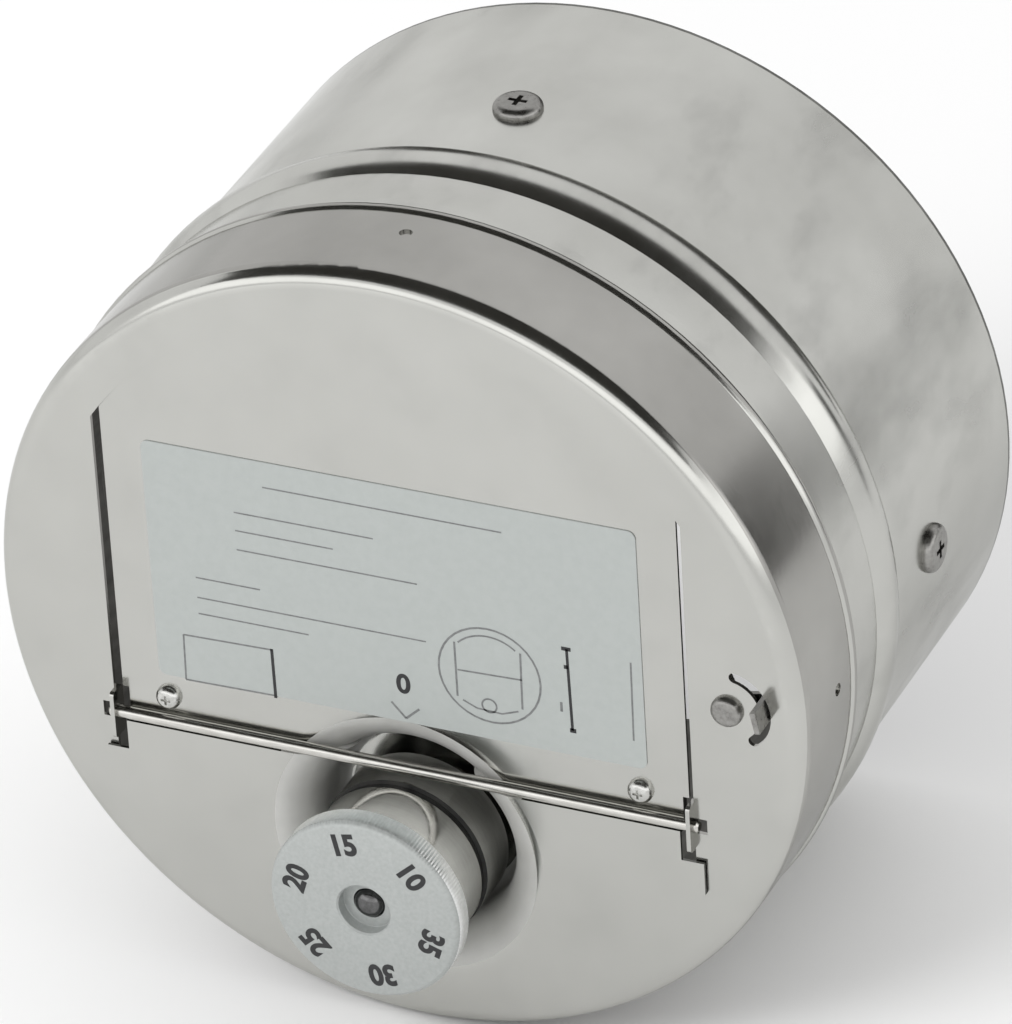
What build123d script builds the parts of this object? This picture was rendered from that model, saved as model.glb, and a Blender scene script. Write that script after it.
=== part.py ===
from build123d import *
import math
import os

# Flue draft regulator: a round stainless cap with a balanced flap, on a stub that slips over a flue branch.
# Millimetres, +Z up, front towards -Y. The origin is the centre of the stub's rear rim.

# Sheet metal
CAP_SHEET = 0.8
SLEEVE_SHEET = 0.6
STUB_SHEET = 0.8
FLAP_SHEET = 0.6
SLIP_GAP = 0.05

# Stub that slips over the flue branch
STUB_BORE_D = 151.4
BODY_DEPTH = 103.0
STUB_FRONT_INSET = 6.0
BEAD_INSET = 38.0
BEAD_WIDTH = 10.0
BEAD_HEIGHT = 1.6
STUB_SCREW_INSET = 64.5
STUB_SCREW_COUNT = 4
STUB_SCREW_R = 2.0
STUB_SCREW_HEAD_R = 4.6
STUB_SCREW_HEAD_H = 1.7
STUB_SCREW_HOLE_GAP = 0.05
PAN_HEAD_ROUND = 0.88
DRIVE_RECESS_L = 3.6
DRIVE_RECESS_W = 0.9
DRIVE_RECESS_DEPTH = 1.0

# Joint sleeve between the cap and the stub
SLEEVE_INSET = 8.0
SLEEVE_DEPTH = 20.0

# Front cap
CAP_DEPTH = 24.5
CAP_CORNER_R = 3.5
CAP_HEM_W = 2.4
CAP_HEM_H = 0.55
CLINCH_COUNT = 4
CLINCH_INSET = 16.0
CLINCH_R = 1.2
CLINCH_DEPTH = 0.5

# Opening in the cap's face, by the land that is left between it and the cap's wall
OPENING_SIDE_LAND = 21.5
OPENING_TOP_LAND = 9.5
OPENING_BOTTOM_LAND = 11.0

# Hinge
ROD_OVER_WEIGHT = 18.5
ROD_R = 1.2
ROD_HOLE_GAP = 0.06
ROD_END_OUT = 1.0
ROD_END_EDGE = 0.375
ROD_WINDOW_GAP = 0.35
ROD_WINDOW_END_GAP = 1.4
LUG_SHEET = 0.8
LUG_HALF_H = 4.8
LUG_RIM = 0.8

# Flap: the upper half laps behind the face, the lower half laps over its front
FLAP_SIDE_GAP = 1.3
FLAP_LAP_GAP = 0.3
FLAP_TOP_LAP = 1.5
FLAP_LAP = 1.8
FLAP_LAP_BOTTOM = 2.1
FLAP_NOTCH_GAP = 1.7
FLAP_NOTCH_CLEAR = 2.5
JOG_UNDER_ROD = 0.05

# Round pot drawn into the flap for the balance weight, a little higher than the weight's own axis
WEIGHT_FROM_RIM = 25.3
POT_OVER_WEIGHT = 2.0
POT_R = 19.0
POT_LIP_R = 8.0
POT_FLOOR_R = 2.5
POT_DEPTH = 15.0

# Screws beside the rod
FLAP_SCREW_FROM_EDGE = 8.0
FLAP_SCREW_OVER_ROD = 4.5
FLAP_SCREW_R = 1.5
FLAP_SCREW_HEAD_R = 2.4
FLAP_SCREW_HEAD_H = 1.7
FLAP_SCREW_GAP = 0.05
BACKING_W = 16.0
BACKING_H = 8.0
BACKING_SHEET = 1.0
SMALL_NUT_FLATS = 5.5
SMALL_NUT_H = 2.4
SMALL_SCREW_END = 0.8

# Scale label on the upper half of the flap
LABEL_SIDE_MARGIN = 7.7
LABEL_OVER_ROD = 9.2
LABEL_H = 49.2
LABEL_SHEET = 0.2
LABEL_CORNER_R = 1.5

# Spindle through the pot's floor
SPINDLE_R = 3.0
SPINDLE_TIP_R = 1.4
SPINDLE_BACK_END = 1.5
NUT_FLATS = 10.0
BASE_NUT_H = 3.0
BACK_NUT_H = 4.0
WASHER_R = 6.0
WASHER_H = 1.0

# Balance weight, all turning on the spindle
DIAL_FACE_OUT = 19.3
DIAL_R = 18.4
DIAL_H = 5.5
DIAL_EDGE = 0.9
DIAL_FLUTES = 120
DIAL_FLUTE_R = 0.32
DIAL_RECESS_R = 5.0
DIAL_RECESS_DEPTH = 2.6
SPINDLE_TIP_SUNK = 0.9
WEIGHT_R = 16.0
WEIGHT_FRONT_H = 10.8
WEIGHT_EDGE = 0.5
GAP_RING_R = 15.4
GAP_RING_H = 1.1
WEIGHT_REAR_R = 16.2
WEIGHT_REAR_H = 9.8
POCKET_R = 14.2
POCKET_DEPTH = 8.6
SPINDLE_RUN_GAP = 0.05

# Spring that takes up the thread's play, with its thrust washer
THRUST_R = 9.5
THRUST_H = 1.0
THRUST_GAP = 0.3
SPRING_WIRE_R = 0.6
SPRING_COIL_R = 8.0
SPRING_TURNS = 3
SPRING_STEPS = 8
SPRING_SEAT_GAP = 0.1

# Flap lock: a lever behind the face with a finger through an arc slot
LOCK_FROM_OPENING = 7.3
LOCK_Z = 2.5
RIVET_R = 1.5
RIVET_HEAD_R = 3.0
RIVET_HEAD_H = 1.5
RIVET_HEAD_ROUND = 0.85
RIVET_TAIL_R = 2.6
RIVET_TAIL_H = 0.9
RIVET_TAIL_EDGE = 0.3
RIVET_RUN_GAP = 0.06
LEVER_SHEET = 1.0
LEVER_FACE_GAP = 0.45
LEVER_HUB_R = 4.0
LEVER_NOSE_REACH = 12.0
LEVER_NOSE_R = 2.0
LEVER_NOSE_ANGLE = 112.0
FINGER_RADIUS = 7.2
FINGER_ANGLE = 12.0
FINGER_W = 4.2
FINGER_OUT = 4.5
SLOT_CLEAR = 0.5
LOCK_UP = 45.0
LOCK_DOWN = 40.0
SLOT_END_CLEAR = 0.5
SPACER_R = 3.4

# Places that follow from the sizes above
FACE_Y = -BODY_DEPTH
STUB_BORE_R = STUB_BORE_D / 2
STUB_R = STUB_BORE_R + STUB_SHEET
SLEEVE_IN_R = STUB_R + SLIP_GAP
SLEEVE_OUT_R = SLEEVE_IN_R + SLEEVE_SHEET
CAP_IN_R = SLEEVE_OUT_R + SLIP_GAP
CAP_R = CAP_IN_R + CAP_SHEET
OPENING_HALF_W = CAP_R - OPENING_SIDE_LAND
OPENING_TOP_R = CAP_R - OPENING_TOP_LAND
OPENING_BOTTOM_R = CAP_R - OPENING_BOTTOM_LAND
WEIGHT_Z = WEIGHT_FROM_RIM - OPENING_BOTTOM_R
ROD_Z = WEIGHT_Z + ROD_OVER_WEIGHT
POT_Z = WEIGHT_Z + POT_OVER_WEIGHT
LOCK_X = OPENING_HALF_W + LOCK_FROM_OPENING
FACE_BACK_Y = FACE_Y + CAP_SHEET
LOW_FRONT_Y = FACE_Y - FLAP_LAP_GAP - FLAP_SHEET
UP_FRONT_Y = FACE_BACK_Y + FLAP_LAP_GAP
UP_BACK_Y = UP_FRONT_Y + FLAP_SHEET
LOW_BACK_Y = LOW_FRONT_Y + FLAP_SHEET
ROD_Y = UP_FRONT_Y - ROD_R
LUG_OUT_X = OPENING_HALF_W
LUG_IN_X = LUG_OUT_X - LUG_SHEET
LUG_FRONT_Y = ROD_Y - ROD_R - LUG_RIM
LUG_BACK_Y = ROD_Y + ROD_R + LUG_RIM
ROD_WINDOW_X = LUG_OUT_X + ROD_END_OUT + ROD_WINDOW_END_GAP
ROD_WINDOW_HALF_H = ROD_R + ROD_WINDOW_GAP
NOTCH_HALF_W = LUG_IN_X - FLAP_NOTCH_GAP
NOTCH_TOP_Z = ROD_Z + LUG_HALF_H
NOTCH_BOTTOM_Z = ROD_Z - LUG_HALF_H - FLAP_NOTCH_CLEAR
FLAP_UP_HALF_W = OPENING_HALF_W - FLAP_SIDE_GAP
FLAP_UP_R = OPENING_TOP_R + FLAP_TOP_LAP
FLAP_SCREW_X = NOTCH_HALF_W - FLAP_SCREW_FROM_EDGE
FLAP_SCREW_Z = ROD_Z + FLAP_SCREW_OVER_ROD
LABEL_W = 2 * (FLAP_UP_HALF_W - LABEL_SIDE_MARGIN)
LABEL_BOTTOM_Z = ROD_Z + LABEL_OVER_ROD
FLAP_LOW_HALF_W = OPENING_HALF_W + FLAP_LAP
FLAP_LOW_R = OPENING_BOTTOM_R + FLAP_LAP_BOTTOM
JOG_Z = ROD_Z - ROD_R - JOG_UNDER_ROD
POT_FLOOR_Y = LOW_FRONT_Y + POT_DEPTH
DIAL_FRONT_Y = FACE_Y - DIAL_FACE_OUT
DIAL_BACK_Y = DIAL_FRONT_Y + DIAL_H
WEIGHT_FRONT_BACK_Y = DIAL_BACK_Y + WEIGHT_FRONT_H
REAR_FRONT_Y = WEIGHT_FRONT_BACK_Y + GAP_RING_H
REAR_BACK_Y = REAR_FRONT_Y + WEIGHT_REAR_H
SPINDLE_BORE_R = SPINDLE_R + SPINDLE_RUN_GAP
THRUST_FRONT_Y = REAR_BACK_Y - POCKET_DEPTH + THRUST_GAP
THRUST_BACK_Y = THRUST_FRONT_Y + THRUST_H
POT_FLOOR_IN_Y = POT_FLOOR_Y - FLAP_SHEET
LEVER_FRONT_Y = UP_BACK_Y + LEVER_FACE_GAP
LEVER_BACK_Y = LEVER_FRONT_Y + LEVER_SHEET
# How far a quarter-round's middle lies from its square corner, as a share of its radius
ARC_MID = 1 - math.cos(math.radians(45))


def along_y(sketch, y_from, y_to):
    # A flat outline drawn on X and Z, carried from one depth to another
    plane = Plane(origin=(0, y_from, 0), x_dir=(1, 0, 0), z_dir=(0, -1, 0))
    return extrude(plane * sketch, amount=y_from - y_to)


def disc_y(radius, y_from, y_to, x=0.0, z=0.0):
    return along_y(Pos(x, z) * Circle(radius), y_from, y_to)


def hex_y(flats, y_from, y_to, x=0.0, z=0.0):
    return along_y(Pos(x, z) * RegularPolygon(flats / 2, 6, major_radius=False), y_from, y_to)


def box_between(x0, x1, y0, y1, z0, z1):
    middle = Pos((x0 + x1) / 2, (y0 + y1) / 2, (z0 + z1) / 2)
    return middle * Box(x1 - x0, y1 - y0, z1 - z0)


def cross_recess(top):
    # Cross slot sunk into a screw head whose top is at the given height on its own axis
    middle = Pos(0, 0, top - DRIVE_RECESS_DEPTH / 2)
    slot_a = middle * Box(DRIVE_RECESS_L, DRIVE_RECESS_W, DRIVE_RECESS_DEPTH)
    slot_b = middle * Box(DRIVE_RECESS_W, DRIVE_RECESS_L, DRIVE_RECESS_DEPTH)
    return slot_a + slot_b


def pan_screw(shank_r, shank_l, head_r, head_h, recess_scale):
    # Head seat at zero height, shank downwards
    head = Cylinder(head_r, head_h, align=(Align.CENTER, Align.CENTER, Align.MIN))
    head = fillet(head.edges().group_by(Axis.Z)[-1], head_h * PAN_HEAD_ROUND)
    shank = Cylinder(shank_r, shank_l, align=(Align.CENTER, Align.CENTER, Align.MAX))
    recess = scale(cross_recess(head_h / recess_scale), recess_scale)
    return head + shank - recess


def band(half_w, radius):
    # Round outline cut off by two upright sides
    return Circle(radius) & Rectangle(2 * half_w, 4 * radius)


def above(z):
    return Pos(0, z) * Rectangle(4 * CAP_R, 4 * CAP_R, align=(Align.CENTER, Align.MIN))


def below(z):
    return Pos(0, z) * Rectangle(4 * CAP_R, 4 * CAP_R, align=(Align.CENTER, Align.MAX))


# Front cap: a drawn disc with a rounded corner and a short wall
def make_front_cap():
    inner_corner = CAP_CORNER_R - CAP_SHEET
    shell = disc_y(CAP_R, FACE_Y, FACE_Y + CAP_DEPTH)
    shell = fillet(shell.edges().group_by(Axis.Y)[0], CAP_CORNER_R)
    hollow = disc_y(CAP_IN_R, FACE_BACK_Y, FACE_Y + CAP_DEPTH)
    hollow = fillet(hollow.edges().group_by(Axis.Y)[0], inner_corner)
    cap = shell - hollow
    # The wall's rear edge is rolled outwards into a low round hem
    hem_back = FACE_Y + CAP_DEPTH
    hem_front = hem_back - CAP_HEM_W
    hem_mid = hem_back - CAP_HEM_W / 2
    hem = [
        Line((CAP_R, hem_front), (CAP_IN_R, hem_front)),
        Line((CAP_IN_R, hem_front), (CAP_IN_R, hem_back)),
        Line((CAP_IN_R, hem_back), (CAP_R, hem_back)),
        ThreePointArc((CAP_R, hem_back), (CAP_R + CAP_HEM_H, hem_mid), (CAP_R, hem_front)),
    ]
    cap += revolve(make_face(hem), Axis.Y)
    upper = band(OPENING_HALF_W, OPENING_TOP_R) & above(ROD_Z)
    lower = band(OPENING_HALF_W, OPENING_BOTTOM_R) & below(ROD_Z)
    cap -= along_y(upper + lower, FACE_Y - CAP_SHEET, FACE_BACK_Y + CAP_SHEET)
    # An ear at each side of the opening carries the rod, whose end stands in a window of the face
    for side in (-1, 1):
        near = min(side * LUG_IN_X, side * (LUG_OUT_X + LUG_SHEET))
        far = max(side * LUG_IN_X, side * (LUG_OUT_X + LUG_SHEET))
        root = box_between(near, far, FACE_Y, FACE_BACK_Y, ROD_Z - LUG_HALF_H, ROD_Z + LUG_HALF_H)
        inner = min(side * LUG_IN_X, side * LUG_OUT_X)
        outer = max(side * LUG_IN_X, side * LUG_OUT_X)
        ear = box_between(inner, outer, LUG_FRONT_Y, LUG_BACK_Y, ROD_Z - LUG_HALF_H, ROD_Z + LUG_HALF_H)
        cap += root + fillet(ear.edges().filter_by(Axis.X), LUG_RIM)
        start = min(side * LUG_OUT_X, side * ROD_WINDOW_X)
        end = max(side * LUG_OUT_X, side * ROD_WINDOW_X)
        low = ROD_Z - ROD_WINDOW_HALF_H
        high = ROD_Z + ROD_WINDOW_HALF_H
        cap -= box_between(start, end, FACE_Y - CAP_SHEET, FACE_BACK_Y + CAP_SHEET, low, high)
    cap -= Pos(0, ROD_Y, ROD_Z) * Rot(0, 90, 0) * Cylinder(ROD_R + ROD_HOLE_GAP, 2 * ROD_WINDOW_X)
    # Clinch points in the wall
    for i in range(CLINCH_COUNT):
        turn = Rot(0, i * 360 / CLINCH_COUNT, 0)
        dimple = Pos(CAP_R, FACE_Y + CLINCH_INSET, 0) * Rot(0, 90, 0) * Cylinder(CLINCH_R, 2 * CLINCH_DEPTH)
        cap -= turn * dimple
    # Arc slot and rivet hole of the lock
    start = FINGER_ANGLE - LOCK_DOWN - slot_margin()
    sweep_angle = LOCK_UP + LOCK_DOWN + 2 * slot_margin()
    arc = CenterArc((0, 0), FINGER_RADIUS, start, sweep_angle)
    slot = SlotArc(arc, 2 * (LEVER_SHEET / 2 + SLOT_CLEAR))
    cap -= along_y(Pos(LOCK_X, LOCK_Z) * slot, FACE_Y - CAP_SHEET, FACE_BACK_Y + CAP_SHEET)
    cap -= disc_y(RIVET_R, FACE_Y - CAP_SHEET, FACE_BACK_Y + CAP_SHEET, LOCK_X, LOCK_Z)
    return cap


def slot_margin():
    # Degrees that the slot runs past the finger's centre at each end of its travel
    return math.degrees((FINGER_W / 2 + SLOT_END_CLEAR) / FINGER_RADIUS)


def make_joint_sleeve():
    ring = Circle(SLEEVE_OUT_R) - Circle(SLEEVE_IN_R)
    return along_y(ring, FACE_Y + SLEEVE_INSET, FACE_Y + SLEEVE_INSET + SLEEVE_DEPTH)


# Stub: a rolled tube with one raised bead and holes for the clamp screws
def make_flue_stub():
    front = FACE_Y + STUB_FRONT_INSET
    bead_front = FACE_Y + BEAD_INSET
    bead_mid = bead_front + BEAD_WIDTH / 2
    bead_back = bead_front + BEAD_WIDTH
    crest_r = STUB_R + BEAD_HEIGHT
    crest_in_r = STUB_BORE_R + BEAD_HEIGHT
    edges = [
        Line((STUB_BORE_R, front), (STUB_R, front)),
        Line((STUB_R, front), (STUB_R, bead_front)),
        ThreePointArc((STUB_R, bead_front), (crest_r, bead_mid), (STUB_R, bead_back)),
        Line((STUB_R, bead_back), (STUB_R, 0)),
        Line((STUB_R, 0), (STUB_BORE_R, 0)),
        Line((STUB_BORE_R, 0), (STUB_BORE_R, bead_back)),
        ThreePointArc((STUB_BORE_R, bead_back), (crest_in_r, bead_mid), (STUB_BORE_R, bead_front)),
        Line((STUB_BORE_R, bead_front), (STUB_BORE_R, front)),
    ]
    tube = revolve(make_face(edges), Axis.Y)
    for i in range(STUB_SCREW_COUNT):
        hole = Cylinder(STUB_SCREW_R + STUB_SCREW_HOLE_GAP, 4 * STUB_SHEET)
        tube -= stub_screw_place(i) * hole
    return tube


def stub_screw_place(i):
    # Screw axis points out of the stub's wall, zero on the outer surface
    turn = Rot(0, i * 360 / STUB_SCREW_COUNT, 0)
    return turn * Pos(STUB_R, FACE_Y + STUB_SCREW_INSET, 0) * Rot(0, 90, 0)


def make_stub_screws():
    # The seat stands off by the arch of the wall under the head
    arch = STUB_R - math.sqrt(STUB_R ** 2 - STUB_SCREW_HEAD_R ** 2)
    screws = []
    for i in range(STUB_SCREW_COUNT):
        screw = pan_screw(STUB_SCREW_R, STUB_SHEET, STUB_SCREW_HEAD_R, STUB_SCREW_HEAD_H, 1.0)
        skirt = Cylinder(STUB_SCREW_HEAD_R, arch, align=(Align.CENTER, Align.CENTER, Align.MAX))
        placed = stub_screw_place(i) * (screw + skirt)
        bore = disc_y(STUB_R, FACE_Y, 0)
        inside = placed & bore & stub_screw_place(i) * Cylinder(STUB_SCREW_R, 2 * STUB_SHEET)
        screws.append((placed - bore) + inside)
    return Compound(children=screws)


# Flap: one pressed sheet, jogged under the rod, with the round pot drawn into it
def jog_region(inset):
    return below(JOG_Z - inset)


def pot_lip(front_y, back_y):
    # Ring whose front rolls in from one depth and whose back rolls in from another, down to one wall
    f = FLAP_SHEET
    back_r = POT_LIP_R - f
    edge_r = POT_R + POT_LIP_R
    wall_y = back_y - f + POT_LIP_R
    roll_y = front_y + POT_LIP_R
    front_mid = POT_LIP_R * ARC_MID
    back_mid = f + back_r * ARC_MID
    section = [
        Line((edge_r, front_y), (edge_r, back_y)),
        ThreePointArc((edge_r, back_y), (POT_R + back_mid, back_y - f + back_mid), (POT_R + f, wall_y)),
        Line((POT_R + f, wall_y), (POT_R, wall_y)),
        ThreePointArc((POT_R, roll_y), (POT_R + front_mid, front_y + front_mid), (edge_r, front_y)),
    ]
    if wall_y > roll_y:
        section.insert(-1, Line((POT_R, wall_y), (POT_R, roll_y)))
    return Pos(0, 0, POT_Z) * revolve(make_face(section), Axis.Y)


def pot_cup(wall_y):
    # Wall, rounded foot and floor of the pot
    f = FLAP_SHEET
    foot_r = POT_FLOOR_R + f
    foot_mid = foot_r * ARC_MID
    inner_mid = POT_FLOOR_R * ARC_MID
    out_r = POT_R + f
    foot_y = POT_FLOOR_Y - foot_r
    flat_r = POT_R - POT_FLOOR_R
    in_y = POT_FLOOR_IN_Y
    section = [
        Line((POT_R, wall_y), (out_r, wall_y)),
        Line((out_r, wall_y), (out_r, foot_y)),
        ThreePointArc((out_r, foot_y), (out_r - foot_mid, POT_FLOOR_Y - foot_mid), (flat_r, POT_FLOOR_Y)),
        Line((flat_r, POT_FLOOR_Y), (0, POT_FLOOR_Y)),
        Line((0, POT_FLOOR_Y), (0, in_y)),
        Line((0, in_y), (flat_r, in_y)),
        ThreePointArc((flat_r, in_y), (POT_R - inner_mid, in_y - inner_mid), (POT_R, foot_y)),
        Line((POT_R, foot_y), (POT_R, wall_y)),
    ]
    return Pos(0, 0, POT_Z) * revolve(make_face(section), Axis.Y)


def make_flap_plate():
    f = FLAP_SHEET
    upper = band(FLAP_UP_HALF_W, FLAP_UP_R) & above(NOTCH_TOP_Z)
    neck_h = NOTCH_TOP_Z - NOTCH_BOTTOM_Z
    middle = Pos(0, NOTCH_BOTTOM_Z + neck_h / 2) * Rectangle(2 * NOTCH_HALF_W, neck_h)
    lower = band(FLAP_LOW_HALF_W, FLAP_LOW_R) & below(NOTCH_BOTTOM_Z)
    mouth = Pos(0, POT_Z) * Circle(POT_R + POT_LIP_R)
    outline = upper + middle + lower - mouth
    sheet = along_y(outline & jog_region(0), LOW_FRONT_Y, UP_BACK_Y)
    sheet -= along_y(jog_region(f), LOW_BACK_Y, UP_BACK_Y)
    sheet += along_y(outline - jog_region(f), UP_FRONT_Y, UP_BACK_Y)
    # The pot's lip rolls in from each half's own depth, and the jog runs on across it
    cup_y = UP_FRONT_Y + POT_LIP_R
    low_half = along_y(jog_region(0), LOW_FRONT_Y - f, POT_FLOOR_Y)
    high_half = along_y(above(JOG_Z - f), LOW_FRONT_Y - f, POT_FLOOR_Y)
    low_wall = disc_y(POT_R + f, LOW_FRONT_Y + POT_LIP_R, cup_y) - disc_y(POT_R, LOW_FRONT_Y, cup_y)
    low_lip = pot_lip(LOW_FRONT_Y, LOW_BACK_Y) + Pos(0, 0, POT_Z) * low_wall
    high_lip = pot_lip(UP_FRONT_Y, UP_BACK_Y)
    riser = pot_lip(LOW_FRONT_Y, UP_BACK_Y) & low_half & high_half
    sheet = sheet + [low_lip & low_half, high_lip & high_half, riser, pot_cup(cup_y)]
    # Holes for the spindle and the two screws
    sheet -= disc_y(SPINDLE_R, POT_FLOOR_IN_Y - f, POT_FLOOR_Y + f, 0, WEIGHT_Z)
    for side in (-1, 1):
        hole_r = FLAP_SCREW_R + FLAP_SCREW_GAP
        sheet -= disc_y(hole_r, UP_FRONT_Y - f, UP_BACK_Y + f, side * FLAP_SCREW_X, FLAP_SCREW_Z)
    return sheet


def make_hinge_rod():
    length = 2 * (LUG_OUT_X + ROD_END_OUT)
    rod = Cylinder(ROD_R, length)
    rod = chamfer(rod.edges().filter_by(GeomType.CIRCLE), ROD_END_EDGE)
    return Pos(0, ROD_Y, ROD_Z) * Rot(0, 90, 0) * rod


def make_flap_screws():
    length = FLAP_SHEET + BACKING_SHEET + SMALL_NUT_H + SMALL_SCREW_END
    screws = []
    for side in (-1, 1):
        place = Pos(side * FLAP_SCREW_X, UP_FRONT_Y, FLAP_SCREW_Z) * Rot(90, 0, 0)
        recess = FLAP_SCREW_HEAD_R / STUB_SCREW_HEAD_R
        screws.append(place * pan_screw(FLAP_SCREW_R, length, FLAP_SCREW_HEAD_R, FLAP_SCREW_HEAD_H, recess))
    return Compound(children=screws)


def make_backing_plates():
    plates = []
    for side in (-1, 1):
        outline = Rectangle(BACKING_W, BACKING_H) - Circle(FLAP_SCREW_R + FLAP_SCREW_GAP)
        place = Pos(side * FLAP_SCREW_X, FLAP_SCREW_Z)
        plates.append(along_y(place * outline, UP_BACK_Y, UP_BACK_Y + BACKING_SHEET))
    return Compound(children=plates)


def make_flap_nuts():
    nuts = []
    seat = UP_BACK_Y + BACKING_SHEET
    for side in (-1, 1):
        x = side * FLAP_SCREW_X
        nut = hex_y(SMALL_NUT_FLATS, seat, seat + SMALL_NUT_H, x, FLAP_SCREW_Z)
        nuts.append(nut - disc_y(FLAP_SCREW_R, seat, seat + SMALL_NUT_H, x, FLAP_SCREW_Z))
    return Compound(children=nuts)


def make_label_plate():
    middle = LABEL_BOTTOM_Z + LABEL_H / 2
    outline = Pos(0, middle) * RectangleRounded(LABEL_W, LABEL_H, LABEL_CORNER_R)
    return along_y(outline, UP_FRONT_Y - LABEL_SHEET, UP_FRONT_Y)


# Spindle and its nuts
def make_weight_spindle():
    tip = DIAL_FRONT_Y + SPINDLE_TIP_SUNK
    back = POT_FLOOR_Y + WASHER_H + BACK_NUT_H + SPINDLE_BACK_END
    rod = disc_y(SPINDLE_R, tip, back, 0, WEIGHT_Z)
    return fillet(rod.edges().group_by(Axis.Y)[0], SPINDLE_TIP_R)


def make_base_nut():
    front = POT_FLOOR_IN_Y - BASE_NUT_H
    nut = hex_y(NUT_FLATS, front, POT_FLOOR_IN_Y, 0, WEIGHT_Z)
    return nut - disc_y(SPINDLE_R, front, POT_FLOOR_IN_Y, 0, WEIGHT_Z)


def make_back_washer():
    ring = Circle(WASHER_R) - Circle(SPINDLE_R)
    return along_y(Pos(0, WEIGHT_Z) * ring, POT_FLOOR_Y, POT_FLOOR_Y + WASHER_H)


def make_back_nut():
    front = POT_FLOOR_Y + WASHER_H
    nut = hex_y(NUT_FLATS, front, front + BACK_NUT_H, 0, WEIGHT_Z)
    return nut - disc_y(SPINDLE_R, front, front + BACK_NUT_H, 0, WEIGHT_Z)


# Balance weight
def make_dial_disc():
    disc = disc_y(DIAL_R, DIAL_FRONT_Y, DIAL_BACK_Y)
    disc = chamfer(disc.edges().filter_by(GeomType.CIRCLE), DIAL_EDGE)
    flute = disc_y(DIAL_FLUTE_R, DIAL_FRONT_Y, DIAL_BACK_Y)
    disc -= [Rot(0, i * 360 / DIAL_FLUTES, 0) * Pos(DIAL_R, 0, 0) * flute for i in range(DIAL_FLUTES)]
    disc -= disc_y(DIAL_RECESS_R, DIAL_FRONT_Y, DIAL_FRONT_Y + DIAL_RECESS_DEPTH)
    disc -= disc_y(SPINDLE_BORE_R, DIAL_FRONT_Y, DIAL_BACK_Y)
    return Pos(0, 0, WEIGHT_Z) * disc


def make_weight_front():
    body = disc_y(WEIGHT_R, DIAL_BACK_Y, WEIGHT_FRONT_BACK_Y)
    body = chamfer(body.edges().filter_by(GeomType.CIRCLE).group_by(Axis.Y)[-1], WEIGHT_EDGE)
    body -= disc_y(SPINDLE_BORE_R, DIAL_BACK_Y, WEIGHT_FRONT_BACK_Y)
    return Pos(0, 0, WEIGHT_Z) * body


def make_gap_ring():
    ring = Circle(GAP_RING_R) - Circle(SPINDLE_BORE_R)
    return along_y(Pos(0, WEIGHT_Z) * ring, WEIGHT_FRONT_BACK_Y, REAR_FRONT_Y)


def make_weight_rear():
    body = disc_y(WEIGHT_REAR_R, REAR_FRONT_Y, REAR_BACK_Y)
    body = chamfer(body.edges().filter_by(GeomType.CIRCLE).group_by(Axis.Y)[0], WEIGHT_EDGE)
    body -= disc_y(POCKET_R, REAR_BACK_Y - POCKET_DEPTH, REAR_BACK_Y)
    body -= disc_y(SPINDLE_BORE_R, REAR_FRONT_Y, REAR_BACK_Y)
    return Pos(0, 0, WEIGHT_Z) * body


def make_thrust_washer():
    ring = Circle(THRUST_R) - Circle(SPINDLE_BORE_R)
    return along_y(Pos(0, WEIGHT_Z) * ring, THRUST_FRONT_Y, THRUST_BACK_Y)


def make_backlash_spring():
    front = THRUST_BACK_Y + SPRING_WIRE_R + SPRING_SEAT_GAP
    back = POT_FLOOR_IN_Y - SPRING_WIRE_R - SPRING_SEAT_GAP
    height = back - front
    points = []
    for i in range(SPRING_TURNS * SPRING_STEPS + 1):
        turn = 2 * math.pi * i / SPRING_STEPS
        rise = height * i / (SPRING_TURNS * SPRING_STEPS)
        points.append((SPRING_COIL_R * math.cos(turn), SPRING_COIL_R * math.sin(turn), rise))
    path = Spline(*points)
    wire_plane = Plane(origin=path @ 0, z_dir=path % 0)
    coil = sweep(wire_plane * Circle(SPRING_WIRE_R), path=path)
    return Pos(0, front, WEIGHT_Z) * Rot(-90, 0, 0) * coil


# Flap lock
def make_lock_rivet():
    head = disc_y(RIVET_HEAD_R, FACE_Y - RIVET_HEAD_H, FACE_Y)
    head = fillet(head.edges().group_by(Axis.Y)[0], RIVET_HEAD_H * RIVET_HEAD_ROUND)
    tail_y = LEVER_BACK_Y + RIVET_RUN_GAP
    shank = disc_y(RIVET_R, FACE_Y, tail_y)
    tail = disc_y(RIVET_TAIL_R, tail_y, tail_y + RIVET_TAIL_H)
    tail = chamfer(tail.edges().group_by(Axis.Y)[-1], RIVET_TAIL_EDGE)
    return Pos(LOCK_X, 0, LOCK_Z) * (head + shank + tail)


def make_lock_spacer():
    ring = Circle(SPACER_R) - Circle(RIVET_R)
    back = LEVER_FRONT_Y - RIVET_RUN_GAP
    return along_y(Pos(LOCK_X, LOCK_Z) * ring, FACE_BACK_Y, back)


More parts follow.
